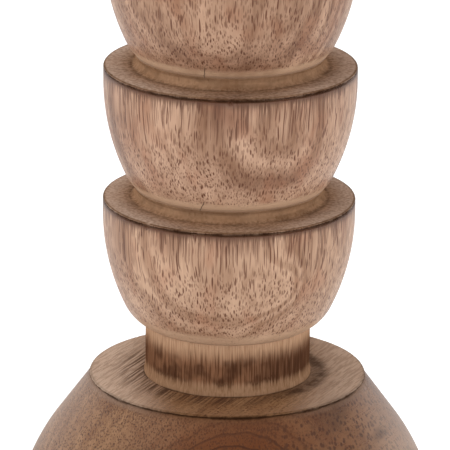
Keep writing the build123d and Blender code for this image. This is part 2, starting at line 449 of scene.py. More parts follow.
# %% Tie rod
thread_pitch = 1.25 * MM
thread_depth = 0.65 * MM
thread_steps = 28
crest_start = 0.42
crest_end = 0.58
spare_turns = 3
rod_ease = 0.8 * MM

low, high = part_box("tie_rod")
crest = high.x
root = crest - thread_depth
coil = bmesh.new()
tooth = [coil.verts.new((radius, 0, low.z + (share - 2) * thread_pitch))
         for radius, share in ((root, 0.0), (crest, crest_start), (crest, crest_end), (root, 1.0))]
for lower, upper in zip(tooth, tooth[1:]):
    coil.edges.new((lower, upper))
bmesh.ops.spin(coil, geom=coil.verts[:] + coil.edges[:], cent=(0, 0, 0), axis=(0, 0, 1),
               dvec=(0, 0, thread_pitch / thread_steps), angle=2 * pi, steps=thread_steps)
one_turn = bpy.data.meshes.new("one_turn")
coil.to_mesh(one_turn)
coil.free()
rod = bmesh.new()
for _ in range(ceil((high.z - low.z) / thread_pitch) + spare_turns):
    bmesh.ops.translate(rod, verts=rod.verts, vec=(0, 0, thread_pitch))
    rod.from_mesh(one_turn)
bpy.data.meshes.remove(one_turn)
bmesh.ops.remove_doubles(rod, verts=rod.verts, dist=0.004 * MM)
for end, outward in ((low.z, -1), (high.z, 1)):
    bmesh.ops.bisect_plane(rod, geom=rod.verts[:] + rod.edges[:] + rod.faces[:], plane_co=(0, 0, end),
                           plane_no=(0, 0, outward), clear_outer=True)
bmesh.ops.holes_fill(rod, edges=rod.edges, sides=0)
for vert in rod.verts:
    from_end = min(vert.co.z - low.z, high.z - vert.co.z)
    eased = min(1.0, (crest - rod_ease + from_end) / vert.co.xy.length)
    vert.co.xy *= eased
bmesh.ops.recalc_face_normals(rod, faces=rod.faces)
tie_rod = show_piece("tie_rod_steel", rod, "stand", "tie_rod")

# %% [markdown]
# Four felt feet keep the base off the table. Felt is cut with a punch, so a foot is a disc with a soft
# edge and a slightly furry outline. One is turned, and copied to the four corners before the noise
# makes each a little different.

# %% Felt feet
foot_radius = 8.0 * MM
foot_edge = 0.6 * MM
fuzz_depth = 0.12 * MM
fuzz_per_metre = 900
felt_steps = 72

low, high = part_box("felt_feet")
outline = Outline(0, low.z)
outline.line(foot_radius - foot_edge, low.z, cuts=5)
outline.arc(foot_radius, low.z + foot_edge, leave=(1, 0), steps=5)
outline.line(foot_radius, high.z - foot_edge, cuts=2)
outline.arc(foot_radius - foot_edge, high.z, leave=(0, 1), steps=5)
outline.line(0, high.z, cuts=5)
punched = outline.turn(felt_steps)
disc = bpy.data.meshes.new("disc")
punched.to_mesh(disc)
punched.free()
feet = bmesh.new()
for side_x in (-1, 1):
    for side_y in (-1, 1):
        feet.from_mesh(disc)
        feet.verts.ensure_lookup_table()
        spot = Vector((side_x * (high.x - foot_radius), side_y * (high.y - foot_radius), 0))
        fresh = feet.verts[-len(disc.vertices):]
        for vert in fresh:
            fuzz = noise.noise((vert.co + spot) * fuzz_per_metre) * fuzz_depth
            vert.co.xy *= 1 - abs(fuzz) / foot_radius
        bmesh.ops.translate(feet, verts=fresh, vec=spot)
bpy.data.meshes.remove(disc)
felt_feet = show_piece("felt_feet_cut", feet, "stand", "felt_feet")

# %% [markdown]
# The wood is open grained. Its vessels are fine upright tubes, so one solid texture shows them as long
# lines where the surface is upright, as dashes on the belly, and as dots where the bowl turns under. No
# picture could follow the shape so well. First come small helpers that add and join shader nodes. All
# patterns are worked out in millimetres, because grain is easier to think of in that unit.

# %% Helpers for shader nodes
def add(tree, kind, **settings):
    node = tree.nodes.new("ShaderNode" + kind)
    for name, value in settings.items():
        setattr(node, name, value)
    return node


def feed(tree, socket, value):
    """Plugs an output into a socket, or sets the socket to a plain value."""
    if isinstance(value, bpy.types.NodeSocket):
        tree.links.new(value, socket)
    else:
        socket.default_value = value


def calc(tree, operation, *values):
    node = add(tree, "Math", operation=operation)
    for socket, value in zip(node.inputs, values):
        feed(tree, socket, value)
    return node.outputs[0]


def product(tree, first, *others):
    for other in others:
        first = calc(tree, "MULTIPLY", first, other)
    return first


def calc_vector(tree, operation, *values):
    node = add(tree, "VectorMath", operation=operation)
    for socket, value in zip(node.inputs, values):
        feed(tree, socket, value)
    return node.outputs["Value" if operation in ("LENGTH", "DISTANCE", "DOT_PRODUCT") else "Vector"]


def fade(tree, value, low, high, start=0.0, end=1.0):
    """Soft step of a value between two limits."""
    node = add(tree, "MapRange", interpolation_type="SMOOTHSTEP")
    for socket, setting in zip(node.inputs, (value, low, high, start, end)):
        feed(tree, socket, setting)
    return node.outputs[0]


def blend(tree, share, first, second, how="MIX"):
    node = add(tree, "Mix", data_type="RGBA", blend_type=how)
    feed(tree, node.inputs[0], share)
    feed(tree, node.inputs[6], first)
    feed(tree, node.inputs[7], second)
    return node.outputs[2]


def cloud(tree, vector, stretch, detail=2.0, output=0):
    """Noise in millimetres, stretched along the axes."""
    node = add(tree, "TexNoise")
    feed(tree, node.inputs["Vector"], calc_vector(tree, "MULTIPLY", vector, stretch))
    feed(tree, node.inputs["Scale"], 1.0)
    feed(tree, node.inputs["Detail"], detail)
    return node.outputs[output]


def split(tree, vector):
    node = add(tree, "SeparateXYZ")
    feed(tree, node.inputs[0], vector)
    return node.outputs


def radius_of(tree, vector):
    return calc_vector(tree, "LENGTH", calc_vector(tree, "MULTIPLY", vector, (1, 1, 0)))


def new_group(name, inputs, outputs):
    tree = bpy.data.node_groups.new(name, "ShaderNodeTree")
    for way, sockets in (("INPUT", inputs), ("OUTPUT", outputs)):
        for socket, kind in sockets.items():
            tree.interface.new_socket(name=socket, in_out=way, socket_type="NodeSocket" + kind)
    return tree, tree.nodes.new("NodeGroupInput").outputs, tree.nodes.new("NodeGroupOutput").inputs


def use(tree, group, **values):
    """Places a node group, with its inputs given by name."""
    node = add(tree, "Group", node_tree=group)
    for name, value in values.items():
        feed(tree, node.inputs[name.replace("_", " ").title()], value)
    return node.outputs


def tone(red, green, blue):
    """Turns a colour as a screen shows it, 0 to 255, into the linear colour that shaders use."""
    screen = [level / 255 for level in (red, green, blue)]
    linear = [level / 12.92 if level < 0.04045 else ((level + 0.055) / 1.055) ** 2.4 for level in screen]
    return linear + [1]


def new_material(name):
    """A material with its node tree, its shader and its point on the piece in millimetres."""
    material = bpy.data.materials.new(name)
    material.use_nodes = True
    tree = material.node_tree
    point = calc_vector(tree, "MULTIPLY", add(tree, "TexCoord").outputs["Object"], (1000, 1000, 1000))
    return material, tree, tree.nodes["Principled BSDF"], point


def emboss(tree, surface, height, strength, distance):
    """Gives a shader the relief of a height pattern."""
    bump = add(tree, "Bump")
    feed(tree, bump.inputs["Strength"], strength)
    feed(tree, bump.inputs["Distance"], distance)
    feed(tree, bump.inputs["Height"], height)
    feed(tree, surface.inputs["Normal"], bump.outputs[0])

# %% [markdown]
# A flat Voronoi pattern in X and Y scatters points that hold for every height, and a disc about each
# point is a tube. Each tube has its own stretch of noise along its length, so it starts and stops, as
# real vessels wander in and out of the cut.

# %% Vessels: fine tubes along the grain
vessels, given, result = new_group(
    "vessels", {"Vector": "Vector", "Pitch": "Float", "Run": "Float", "Share": "Float"}, {"Mask": "Float"})
tree = vessels
point = given["Vector"]
sway = calc_vector(tree, "MULTIPLY", cloud(tree, point, (0.1, 0.1, 0.05), 2, 1), (3, 3, 0))
place = calc_vector(tree, "ADD", point, sway)
tubes = add(tree, "TexVoronoi", voronoi_dimensions="2D")
feed(tree, tubes.inputs["Vector"], place)
feed(tree, tubes.inputs["Scale"], calc(tree, "DIVIDE", 1.0, given["Pitch"]))
lot = add(tree, "SeparateColor")
feed(tree, lot.inputs[0], tubes.outputs["Color"])
width = calc(tree, "MULTIPLY_ADD", lot.outputs[0], 0.15, 0.22)
tube = fade(tree, tubes.outputs["Distance"], calc(tree, "MULTIPLY", width, 0.5), width, 1.0, 0.0)
along = calc(tree, "DIVIDE", split(tree, place)[2], given["Run"])
stretch = add(tree, "TexNoise", noise_dimensions="1D")
feed(tree, stretch.inputs["W"], calc(tree, "MULTIPLY_ADD", lot.outputs[1], 500.0, along))
feed(tree, stretch.inputs["Scale"], 1.0)
feed(tree, stretch.inputs["Detail"], 0.0)
limit = calc(tree, "MULTIPLY_ADD", given["Share"], 0.6, 0.2)
kept = fade(tree, stretch.outputs[0], calc(tree, "SUBTRACT", limit, 0.08), limit, 1.0, 0.0)
depth = calc(tree, "MULTIPLY_ADD", lot.outputs[2], 0.5, 0.5)
feed(tree, result["Mask"], product(tree, tube, kept, depth))
print("vessels:", len(vessels.nodes), "nodes")

# %% [markdown]
# A tree grows in rings round its pith. Where the belly cuts through the rings they show as tall arcs.
# An eye, which is a bump in the rings over an old bud, bends them to one side. The rings come as soft
# bands and as thin dark lines where a year's growth stopped.

# %% Growth bands round the pith, bent by an eye in the figure
bands, given, result = new_group(
    "growth_bands",
    {"Vector": "Vector", "Pith": "Vector", "Spacing": "Float", "Eye": "Vector", "Eye Size": "Float",
     "Eye Pull": "Float"},
    {"Band": "Float", "Line": "Float", "From Pith": "Float"})
tree = bands
point = given["Vector"]
from_pith = radius_of(tree, calc_vector(tree, "SUBTRACT", point, given["Pith"]))
wobble = calc(tree, "MULTIPLY", cloud(tree, point, (0.05, 0.05, 0.02), 2), 9.0)
from_eye = calc_vector(tree, "DISTANCE", point, given["Eye"])
bend = calc(tree, "MULTIPLY", fade(tree, from_eye, 0.0, given["Eye Size"], 1.0, 0.0), given["Eye Pull"])
reach = calc(tree, "ADD", calc(tree, "ADD", from_pith, wobble), bend)
phase = calc(tree, "DIVIDE", reach, given["Spacing"])
year = calc(tree, "FRACT", phase)
late = calc(tree, "MULTIPLY", fade(tree, year, 0.7, 0.92), fade(tree, year, 0.92, 1.0, 1.0, 0.0))
strip = add(tree, "CombineXYZ")
feed(tree, strip.inputs[0], phase)
feed(tree, result["From Pith"], from_pith)
feed(tree, result["Line"], late)
feed(tree, result["Band"], fade(tree, cloud(tree, strip.outputs[0], (1, 1, 1), 3), 0.34, 0.68))
print("growth bands:", len(bands.nodes), "nodes")

# %% [markdown]
# The burnt line is never even. The wire was pressed harder in some places, soot ran into the open
# vessels below the line, and handling has worn a paler strip on the flat inside it. The dark of the
# line also reaches over the eased edge above it, as painted shade, and the pale strip is partly a
# painted sheen, stronger at the left and right than at the front.

# %% Burnt rim line with painted shade over the edge, the soot below it, and the worn strip inside it with painted sheen
rim_marks, given, result = new_group(
    "rim_marks", {"Vector": "Vector", "Radius": "Float", "Height": "Float"},
    {"Burn And Shade": "Float", "Soot": "Float", "Worn And Sheen": "Float"})
tree = rim_marks
point = given["Vector"]
height = split(tree, point)[2]
ragged = calc(tree, "MULTIPLY_ADD", cloud(tree, point, (0.8, 0.8, 0.05), 3), 0.3, -0.15)
above = calc(tree, "ADD", calc(tree, "SUBTRACT", height, given["Height"]), ragged)
inside = calc(tree, "SUBTRACT", given["Radius"], radius_of(tree, point))
press = cloud(tree, point, (0.09, 0.09, 0.02), 2)
thick = fade(tree, press, 0.35, 0.65, 0.5, 0.85)
from_line = calc(tree, "ABSOLUTE", calc(tree, "SUBTRACT", above, 0.3))
line = fade(tree, from_line, calc(tree, "MULTIPLY", thick, 0.25), thick, 1.0, 0.0)
heat = fade(tree, cloud(tree, point, (0.35, 0.35, 0.02), 2), 0.3, 0.6, 0.8, 1.0)
# Edge: painted shade, a dark band over the eased edge above the burnt line.
arris_shade = product(tree, fade(tree, inside, 0.2, 0.9, 1.0, 0.0), fade(tree, above, 0.0, 0.3), 0.45)
line = product(tree, line, fade(tree, inside, 0.4, 0.7, 1.0, 0.0))
feed(tree, result["Burn And Shade"], product(tree, heat, calc(tree, "MAXIMUM", line, arris_shade)))
streaks = fade(tree, cloud(tree, point, (2.4, 2.4, 0.02), 1), 0.47, 0.57)
smoke = fade(tree, above, calc(tree, "MULTIPLY_ADD", press, -16.0, 2.0), -0.2)
under = fade(tree, above, -0.2, 0.3, 1.0, 0.0)
wall = fade(tree, inside, 1.5, 3.0, 1.0, 0.0)
singed = fade(tree, above, fade(tree, press, 0.35, 0.65, -1.6, -3.2), -0.2)
soot = calc(tree, "MAXIMUM", singed, calc(tree, "MULTIPLY", smoke, streaks))
feed(tree, result["Soot"], product(tree, soot, under, wall))
top = fade(tree, above, 0.1, 0.5)
side = calc(tree, "ABSOLUTE", split(tree, point)[0])
# Paler at the left and right than at the front: that part of the strip is painted sheen.
side_sheen = fade(tree, side, 8.0, 26.0, 0.3, 1.0)
rubbed = fade(tree, cloud(tree, point, (1.1, 1.1, 1.1), 3), 0.36, 0.62, 0.5, 1.0)
strip_start = fade(tree, inside, 0.2, 0.8)
strip_end = fade(tree, inside, 1.5, 9.0, 1.0, 0.0)
feed(tree, result["Worn And Sheen"], product(tree, top, strip_start, strip_end, side_sheen, rubbed))
print("rim marks:", len(rim_marks.nodes), "nodes")

# %% [markdown]
# Two more marks recur: a blot, a darker patch that licks along the grain, mostly heartwood or stain but
# in two places painted shade, and a crease, a darker ring in a seam that runs round the piece, which is
# painted shade and dirt.

# %% Blots and creases
blot, given, result = new_group(
    "blot", {"Vector": "Vector", "Centre": "Vector", "Reach": "Vector"}, {"Mask": "Float"})
tree = blot
point = given["Vector"]
offset = calc_vector(tree, "SUBTRACT", point, given["Centre"])
apart = calc_vector(tree, "DIVIDE", offset, given["Reach"])
licks = cloud(tree, point, (0.4, 0.4, 0.05), 3)
apart = calc(tree, "ADD", calc_vector(tree, "LENGTH", apart), calc(tree, "MULTIPLY_ADD", licks, 1.0, -0.5))
feed(tree, result["Mask"], fade(tree, apart, 0.1, 1.15, 1.0, 0.0))

crease, given, result = new_group(
    "crease", {"Vector": "Vector", "Radius": "Float", "Height": "Float", "Reach": "Float"},
    {"Shade": "Float"})
tree = crease
point = given["Vector"]
across = add(tree, "CombineXYZ")
feed(tree, across.inputs[0], calc(tree, "SUBTRACT", radius_of(tree, point), given["Radius"]))
feed(tree, across.inputs[1], calc(tree, "SUBTRACT", split(tree, point)[2], given["Height"]))
shade = fade(tree, calc_vector(tree, "LENGTH", across.outputs[0]), 0.0, given["Reach"], 1.0, 0.0)
uneven = fade(tree, cloud(tree, point, (0.2, 0.2, 0.2), 3), 0.38, 0.6, 0.25, 1.0)
feed(tree, result["Shade"], calc(tree, "MULTIPLY", shade, uneven))
print("blot:", len(blot.nodes), "nodes, crease:", len(crease.nodes), "nodes")

# %% [markdown]
# The plain wood adds these up. Fine fibres, wider strands, broad patches and the growth bands each push
# the tone a little towards the pale or the deep colour, some places blush warmer, and the vessels are
# drawn last. The same vessels sink into the relief, so they catch the light as real pores do.

# %% Plain wood: colour and relief of the figure
timber, given, result = new_group(
    "timber",
    {"Vector": "Vector", "Pale": "Color", "Deep": "Color", "Warm": "Color", "Pore": "Color",
     "Band": "Float", "Share": "Float", "Pitch": "Float", "Run": "Float", "Figure": "Float"},
    {"Color": "Color", "Height": "Float"})
tree = timber
point = given["Vector"]
fibre = cloud(tree, point, (1.4, 1.4, 0.07), 3)
strand = cloud(tree, point, (0.45, 0.45, 0.035), 2)
patch = cloud(tree, point, (0.09, 0.09, 0.05), 2)
depth = 0.0
for layer, weight in ((fibre, 0.6), (strand, 0.6), (patch, 0.9), (given["Band"], 0.65)):
    depth = calc(tree, "MULTIPLY_ADD", calc(tree, "SUBTRACT", layer, 0.5), weight, depth)
depth = calc(tree, "MULTIPLY", depth, given["Figure"])
colour = blend(tree, fade(tree, depth, -0.6, 0.6), given["Pale"], given["Deep"])
blush = fade(tree, cloud(tree, point, (0.14, 0.14, 0.08), 2), 0.48, 0.7, 0.0, 0.6)
colour = blend(tree, calc(tree, "MULTIPLY", blush, given["Figure"]), colour, given["Warm"])
coarse = use(tree, vessels, vector=point, pitch=given["Pitch"], run=given["Run"], share=given["Share"])
small = calc(tree, "MULTIPLY", given["Pitch"], 0.62)
short = calc(tree, "MULTIPLY", given["Run"], 0.6)
fine = use(tree, vessels, vector=point, pitch=small, run=short, share=given["Share"])
pores = calc(tree, "MAXIMUM", coarse["Mask"], calc(tree, "MULTIPLY", fine["Mask"], 0.7))
colour = blend(tree, pores, colour, given["Pore"])
feed(tree, result["Color"], colour)
feed(tree, result["Height"], calc(tree, "SUBTRACT", calc(tree, "MULTIPLY", fibre, 0.25), pores))
print("timber:", len(timber.nodes), "nodes")

# %% [markdown]
# Every wooden piece starts from the same recipe: its figure, its burnt rim with a little painted shade
# and sheen, and darker end grain where a face cuts across the tubes. End grain is rougher too, so it
# shines less. What only one piece has is painted on after that, piece by piece. A small class keeps the
# colour and the roughness together while marks are laid over them.

# %% Recipe for a wooden piece
burn_and_shade_black = tone(46, 27, 15)
end_grain_and_shade_brown = tone(112, 81, 56)
end_tan = tone(156, 122, 94)
worn_and_sheen_grey = tone(188, 163, 145)
grime_and_shade = tone(70, 48, 34)
scorch = tone(82, 49, 32)
no_flat = 1000.0
no_polish = -100.0
pore_depth = 0.15 * MM


class Wood:
    """Material of a wooden piece. Marks are blended over its colour in the order they are laid on."""

    def __init__(self, name, tones, growth, pores, flat=no_flat, smooth_below=no_polish,
                 turn=Matrix.Identity(3)):
        self.material, self.tree, self.surface, self.point = new_material(name)
        self.turn = turn
        self.flat = flat
        tree = self.tree
        turned = add(tree, "Mapping")
        feed(tree, turned.inputs["Vector"], self.point)
        feed(tree, turned.inputs["Rotation"], turn.to_euler())
        self.grain = turned.outputs[0]
        pith, spacing, eye, eye_size, eye_pull = growth
        self.growth = use(tree, bands, vector=self.grain, pith=turn @ Vector(pith), spacing=spacing,
                          eye=turn @ Vector(eye), eye_size=eye_size, eye_pull=eye_pull)
        fibres = turn.transposed() @ Vector((0, 0, 1))
        normal = add(tree, "TexCoord").outputs["Normal"]
        facing = calc(tree, "ABSOLUTE", calc_vector(tree, "DOT_PRODUCT", normal, fibres))
        height = split(tree, self.point)[2]
        above_flat = fade(tree, height, flat - 0.3, flat - 0.1)
        self.end = calc(tree, "MAXIMUM", fade(tree, facing, 0.8, 0.98), above_flat)
        self.polish = fade(tree, height, smooth_below - 1.0, smooth_below + 1.0, 1.0, 0.0)
        closed = calc(tree, "MULTIPLY", calc(tree, "MAXIMUM", self.end, self.polish), 0.6)
        pitch, run, share, contrast = pores
        dense = calc(tree, "MULTIPLY_ADD", self.growth["Band"], 0.2, share)
        pale, deep, warm, pore = tones
        figure = use(tree, timber, vector=self.grain, pale=pale, deep=deep, warm=warm, pore=pore,
                     band=self.growth["Band"], pitch=pitch, run=run, figure=contrast,
                     share=product(tree, calc(tree, "SUBTRACT", 1.0, closed), dense))
        self.colour = figure["Color"]
        self.relief = figure["Height"]
        self.roughness = calc(tree, "MULTIPLY_ADD", self.end, 0.15, 0.4)
        self.shine = fade(tree, self.end, 0.0, 1.0, 0.25, 0.0)

    def lay(self, mask, strength, colour, how="MIX"):
        """Blends a colour over the wood where a mask says so."""
        share = calc(self.tree, "MULTIPLY", mask, strength)
        self.colour = blend(self.tree, share, self.colour, colour, how)

    def end_grain(self):
        """Speckled and finely turned end grain, blotched with grime."""
        tree = self.tree
        across, _, height = split(tree, self.point)
        darkest = fade(tree, height, self.flat, self.flat + 0.8, 0.22, 0.42)
        palest = fade(tree, height, self.flat, self.flat + 0.8, 0.78, 0.58)
        speckle = fade(tree, cloud(tree, self.point, (1.1, 1.1, 1.1), 4), 0.35, 0.65, darkest, palest)
        turning = add(tree, "CombineXYZ")
        feed(tree, turning.inputs[0], calc(tree, "ADD", radius_of(tree, self.point), height))
        feed(tree, turning.inputs[1], calc(tree, "MULTIPLY", across, 0.04))
        lines = cloud(tree, turning.outputs[0], (1.3, 1.0, 1.0), 3)
        mixed = calc(tree, "ADD", speckle, calc(tree, "MULTIPLY_ADD", lines, 0.9, -0.45))
        self.lay(self.end, 0.85, blend(tree, fade(tree, mixed, 0.0, 1.0), end_grain_and_shade_brown, end_tan))
        blotched = fade(tree, cloud(tree, self.point, (0.1, 0.22, 0.4), 3), 0.42, 0.65)
        self.lay(product(tree, self.end, blotched), 0.25, grime_and_shade)

    def seam_shade_and_dirt(self, radius, height, reach, strength):
        """Painted shade and dirt in a seam. Radius and height are in metres, as the seam was modelled."""
        shade = use(self.tree, crease, vector=self.point, radius=radius / MM, height=height / MM,
                    reach=reach)
        self.lay(shade["Shade"], strength, grime_and_shade)

    def patch(self, centre, reach, strength, colour, how="MIX"):
        """A blot that follows the grain."""
        lengths = [abs(length) for length in self.turn @ Vector(reach)]
        mask = use(self.tree, blot, vector=self.grain, centre=self.turn @ Vector(centre), reach=lengths)
        self.lay(mask["Mask"], strength, colour, how)

    def check(self, across_at, low, high, lean=0.0):
        """A drying check: a hair crack that runs up the front from one height to another."""
        tree = self.tree
        across, away, height = split(tree, self.point)
        bend = calc(tree, "MULTIPLY_ADD", cloud(tree, self.point, (0.0, 0.0, 0.7), 2), 0.8, -0.4)
        line = calc(tree, "MULTIPLY_ADD", calc(tree, "SUBTRACT", height, low), lean, across_at)
        apart = calc(tree, "SUBTRACT", across, calc(tree, "ADD", line, bend))
        crack = fade(tree, calc(tree, "ABSOLUTE", apart), 0.08, 0.22, 1.0, 0.0)
        foot_end = fade(tree, height, low - 0.3, low)
        tip = fade(tree, height, high - 2.0, high, 1.0, 0.0)
        front = fade(tree, away, -2.0, 0.0, 1.0, 0.0)
        self.lay(product(tree, crack, foot_end, tip, front), 0.7, burn_and_shade_black)

    def rim(self, radius, height, wear_and_sheen=1.0, soot=0.9):
        """Burnt line with painted shade over its edge, soot, and worn strip partly painted sheen. Radius
        and height are in metres.
        """
        marks = use(self.tree, rim_marks, vector=self.point, radius=radius / MM, height=height / MM)
        self.lay(marks["Worn And Sheen"], wear_and_sheen, worn_and_sheen_grey)
        self.lay(marks["Soot"], soot, scorch)
        self.lay(marks["Burn And Shade"], 0.95, burn_and_shade_black)
        not_burnt_or_shaded = calc(self.tree, "SUBTRACT", 1.0, marks["Burn And Shade"])
        self.shine = calc(self.tree, "MULTIPLY", self.shine, not_burnt_or_shaded)

    def finish(self, piece):
        feed(self.tree, self.surface.inputs["Base Color"], self.colour)
        feed(self.tree, self.surface.inputs["Roughness"], self.roughness)
        feed(self.tree, self.surface.inputs["Specular IOR Level"], self.shine)
        emboss(self.tree, self.surface, self.relief, 0.5, pore_depth)
        piece.data.materials.append(self.material)
        print(self.material.name, "wood:", len(self.tree.nodes), "nodes")

# %% [markdown]
# The upper two bowls and the dish come from one billet with upright grain, so their tones are alike,
# though the upper bowl is the darkest and each bowl below it a step paler.
# Each has its own pith and its own patches of darker heartwood, placed where the real ones show them,
# and the middle bowl has one more on its left side, which is painted shade.
# The smooth foot of a bowl was sanded while it spun, so its pores are closed. It is painted paler too,
# as painted light on a face that looks down. A hair crack in the foot of each bowl is a drying check.

# %% Upper two bowls and the dish
column_pore = tone(92, 50, 30)
upper_tones = [tone(188, 151, 125), tone(118, 82, 59), tone(146, 100, 74), column_pore]
middle_tones = [tone(198, 161, 135), tone(128, 91, 67), tone(156, 108, 82), column_pore]
lower_tones = [tone(202, 166, 139), tone(138, 101, 76), tone(166, 118, 91), column_pore]
sanded_and_lit_tan = tone(203, 169, 140)
heartwood_and_shade = tone(170, 140, 120)
column_figure = {
    "candle_dish": (middle_tones, ((12, 60, 0), 3.0, (-20, -40, 190), 16.0, 3.0), (), ()),
    "upper_bowl": (upper_tones, ((12, 60, 0), 3.0, (-4, -32, 158), 16.0, 3.0),
                   (((-14, -27, 155), (7, 9, 4), 0.5), ((4, -30, 155), (6, 9, 3), 0.45),
                    ((17, -26, 156), (9, 9, 5), 0.5), ((2, -29, 151), (22, 9, 5), 0.5)), ((-7.1, 0.0),)),
    "middle_bowl": (middle_tones, ((-10, 64, 0), 4.6, (16, -31, 133), 30.0, 7.0),
                    (((0, -34, 140), (8, 12, 9), 0.75), ((9, -29, 120), (20, 10, 5), 0.25),
                     # The patch on the left side of the middle bowl is painted shade.
                     ((-30, -18, 130), (9, 12, 16), 0.5)), ((-8.0, 0.35),)),
}

column_pores = (0.85, 7.0, 0.85, 0.9)  # pitch, run, share and contrast
check_length = 4.5


def seat_shade_and_dirt(wood, top):
    """Painted shade and dirt where the next piece stands, and at the foot of the cove round it."""
    wood.seam_shade_and_dirt(collar_radius, top.z, 0.8, 0.1)
    wood.seam_shade_and_dirt(collar_radius + cove_reach, top.z - seat_rise, 1.0, 0.5)


for node, (tones, growth, patches, checks) in column_figure.items():
    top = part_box(node)[1]
    foot = (top.z - (dish_height if node == "candle_dish" else bowl_height)) / MM
    flat = (top.z - seat_rise) / MM
    wood = Wood(node, tones, growth, column_pores, flat, foot + 2.6)
    # Painted light: the sanded foot is laid paler than the wood, where it faces down.
    wood.lay(wood.polish, 0.9, sanded_and_lit_tan)
    wood.end_grain()
    height = split(wood.tree, wood.point)[2]
    # Painted shade: a darker band over the collar just above the seam, where its edge would catch light.
    wood.lay(fade(wood.tree, height, foot + 0.3, foot + 0.9, 1.0, 0.0), 0.8, end_grain_and_shade_brown)
    seat_shade_and_dirt(wood, top)
    for centre, reach, strength in patches:
        wood.patch(centre, reach, strength, heartwood_and_shade, "MULTIPLY")
    for across_at, lean in checks:
        wood.check(across_at, foot, foot + check_length, lean)
    wood.rim(top.x, rim_lines[node])
    wood.finish(wood_pieces[node])

# %% [markdown]
# The lowest bowl is the palest. Its neck is raw and was stained by hand: a soft dark band with thin runs
# up and down the fibres, darkest at the sides, and a thin tide line where the stain dried. The dark at
# the sides is partly stain and partly painted shade. Streaky noise shifts the band's limits, so that
# they end in runs and not in a line.

# %% Lowest bowl with its neck
node = "lower_bowl"
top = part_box(node)[1]
neck_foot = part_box(node)[0].z + spigot_length
lip = (top.z - bowl_height - lip_drop) / MM
flat = (top.z - seat_rise) / MM
lower_growth = ((14, 70, 0), 3.0, (15, -31, 88), 14.0, 7.0)
lower_patches = (((-18, -30, 103), (9, 9, 8), 0.45), ((3, -35, 103), (8, 9, 4), 0.45),
                # The patch on the left side of the lowest bowl is painted shade.
                ((-31, -16, 95), (9, 12, 16), 0.35))
wood = Wood(node, lower_tones, lower_growth, (0.85, 7.0, 0.85, 0.75), flat, lip + 4.0)
# Painted light on the sanded foot and lower belly, as on the bowls above.
wood.lay(wood.polish, 0.5, sanded_and_lit_tan)
wood.end_grain()
seat_shade_and_dirt(wood, top)
for centre, reach, strength in lower_patches:
    wood.patch(centre, reach, strength, heartwood_and_shade, "MULTIPLY")

tree = wood.tree
across, _, height = split(tree, wood.point)
below_lip = fade(tree, height, lip - 0.6, lip + 0.2, 1.0, 0.0)
fibres = cloud(tree, wood.point, (2.4, 2.4, 0.06), 3)
runs = calc(tree, "MULTIPLY_ADD", fibres, 7.0, calc(tree, "SUBTRACT", height, lip + 3.5))
drips = calc(tree, "MULTIPLY_ADD", fibres, 3.0, calc(tree, "SUBTRACT", height, lip + 1.5))
stained = product(tree, fade(tree, runs, -7.0, -1.0, 1.0, 0.0), fade(tree, drips, -14.0, -10.6))
threads = fade(tree, cloud(tree, wood.point, (3.0, 3.0, 0.1), 2), 0.47, 0.58)
cloudy = fade(tree, cloud(tree, wood.point, (0.16, 0.16, 0.16), 2), 0.42, 0.62)
# Darker at the right and at the left edge of the neck: partly stain, partly painted shade.
right_stain_and_shade = fade(tree, across, 4.0, 15.0)
left_stain_and_shade = fade(tree, across, -22.5, -17.0, 0.4, 0.0)
pools_and_side_shade = calc(tree, "MAXIMUM", cloudy, calc(tree, "MAXIMUM", right_stain_and_shade, left_stain_and_shade))
tide = fade(tree, calc(tree, "ABSOLUTE", calc(tree, "ADD", runs, 11.7)), 0.1, 0.5, 1.0, 0.0)
neck_tan = tone(182, 145, 114)
neck_brown = tone(108, 69, 46)
neck_black = tone(52, 30, 19)
wood.lay(below_lip, 0.6, neck_tan)
wood.lay(product(tree, below_lip, fade(tree, fibres, 0.45, 0.65)), 0.3, neck_brown)
wood.lay(product(tree, below_lip, threads), 0.3, neck_brown)
wood.lay(stained, 0.85, neck_brown)
wood.lay(product(tree, stained, threads), 0.55, neck_black)
wood.lay(product(tree, stained, pools_and_side_shade, fade(tree, fibres, 0.35, 0.6, 0.5, 1.0)), 0.75, neck_black)
wood.lay(product(tree, below_lip, tide, cloudy), 0.5, neck_black)
# The neck is darker over its last few millimetres, at its foot.
wood.lay(fade(tree, height, lip - 13.5, lip - 11.0, 1.0, 0.0), 0.6, end_grain_and_shade_brown)
# Painted shade and dirt in the seam at the foot of the neck.
wood.seam_shade_and_dirt(neck_foot_radius, neck_foot, 0.5, 0.7)
wood.rim(top.x, rim_lines[node])
wood.roughness = calc(tree, "MAXIMUM", wood.roughness, calc(tree, "MULTIPLY", below_lip, 0.6))
wood.shine = product(tree, wood.shine, fade(tree, below_lip, 0.0, 1.0, 1.0, 0.0))
wood.finish(wood_pieces[node])

# %% [markdown]
# The base was cut across the plank, so its fibres lie level and run away to the right. Its heart is
# red-brown and faces the front, with thin growth rings. The shoulder is pale at the left and right,
# partly sapwood and partly painted sheen, and the dome's right edge is paler with painted sheen. The
# dome is dotted with small pits and the shoulder shows fine hairs of grain. The finish pooled round the
# foot of the neck and left dark blotches there.

